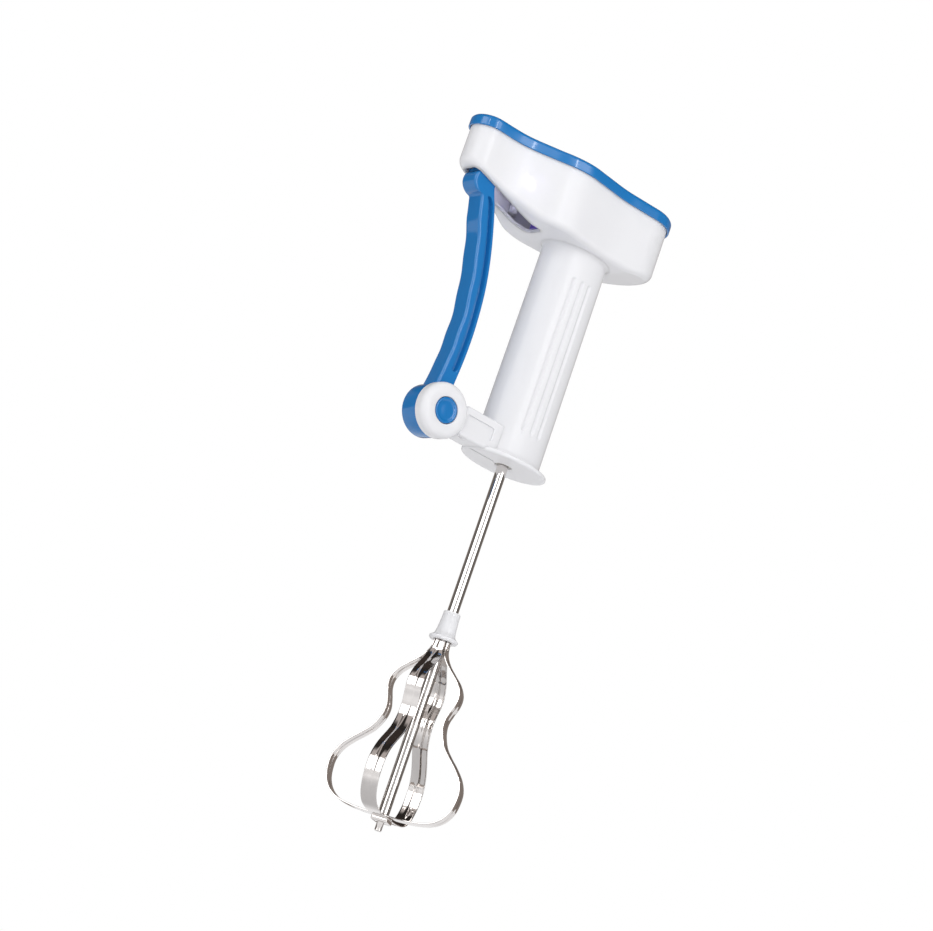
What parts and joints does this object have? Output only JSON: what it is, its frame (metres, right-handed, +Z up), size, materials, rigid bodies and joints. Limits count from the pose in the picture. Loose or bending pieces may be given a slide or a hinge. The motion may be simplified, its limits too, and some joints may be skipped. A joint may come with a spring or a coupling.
{
  "type": "egg beater",
  "caption": "Hand-held whisk with a squeeze lever beside an oval grip; squeezing turns a steel shaft with gourd-shaped strip loops.",
  "frame": {"origin": "centre of the shaft's lower tip", "axes": "+Z up the shaft towards the lid, -X towards the squeeze lever, -Y out of the hub's capped face"},
  "size_m": [0.1259, 0.0588, 0.335],
  "materials": {
    "white_plastic": "moulded, semi-gloss white",
    "blue_plastic": "moulded, glossy mid blue",
    "violet_plastic": "moulded, satin violet",
    "nylon": "natural, satin",
    "bright_steel": "polished stainless",
    "spring_steel": "drawn wire and strip"
  },
  "bodies": {
    "beater_body": {"housing": "white_plastic", "lid": "blue_plastic", "lid_screw_1": "bright_steel", "lid_screw_2": "bright_steel", "lid_screw_3": "bright_steel", "gear_carrier": "violet_plastic", "lower_bush": "nylon", "upper_bush": "nylon", "top_bush": "nylon", "gear_axle": "bright_steel", "pivot_pin": "bright_steel", "pivot_cap": "blue_plastic", "pivot_washer": "bright_steel"},
    "squeeze_lever": {"lever": "blue_plastic", "lever_pin": "bright_steel", "return_spring": "spring_steel"},
    "rack_bar": {"rack": "violet_plastic"},
    "gear_cluster": {"step_gear": "violet_plastic"},
    "whisk_shaft": {"main_shaft": "bright_steel", "shaft_pinion": "nylon", "retaining_clip": "spring_steel", "whisk_collar": "white_plastic", "whisk_loop_upper": "bright_steel", "whisk_loop_lower": "bright_steel", "end_clip": "bright_steel"}
  },
  "joints": [
    {"name": "whisk_spin", "type": "hinge", "parent": "beater_body", "child": "whisk_shaft", "pos_m": [0, 0, 0.1], "axis": [0, 0, -1], "range_deg": [0, 983]},
    {"name": "lever_hinge", "type": "hinge", "parent": "beater_body", "child": "squeeze_lever", "pos_m": [-0.05, 0, 0.1919], "axis": [0, 1, 0], "range_deg": [0, 15.8], "stiffness_Nm_per_rad": 0.3, "springref_deg": -28.65, "deforming": ["return_spring"]},
    {"name": "rack_slide", "type": "slide", "parent": "beater_body", "child": "rack_bar", "axis": [1, 0, 0], "range_m": [0, 0.0344]},
    {"name": "gear_spin", "type": "hinge", "parent": "beater_body", "child": "gear_cluster", "pos_m": [-0.01904, 0.0025, 0.323], "axis": [0, 0, 1], "range_deg": [0, 328]}
  ],
  "couplings": [
    {"joint": "lever_hinge", "follows": "whisk_spin", "ratio": 0.01604},
    {"joint": "rack_slide", "follows": "whisk_spin", "m_per_rad": 0.002},
    {"joint": "gear_spin", "follows": "whisk_spin", "ratio": 0.33333}
  ]
}
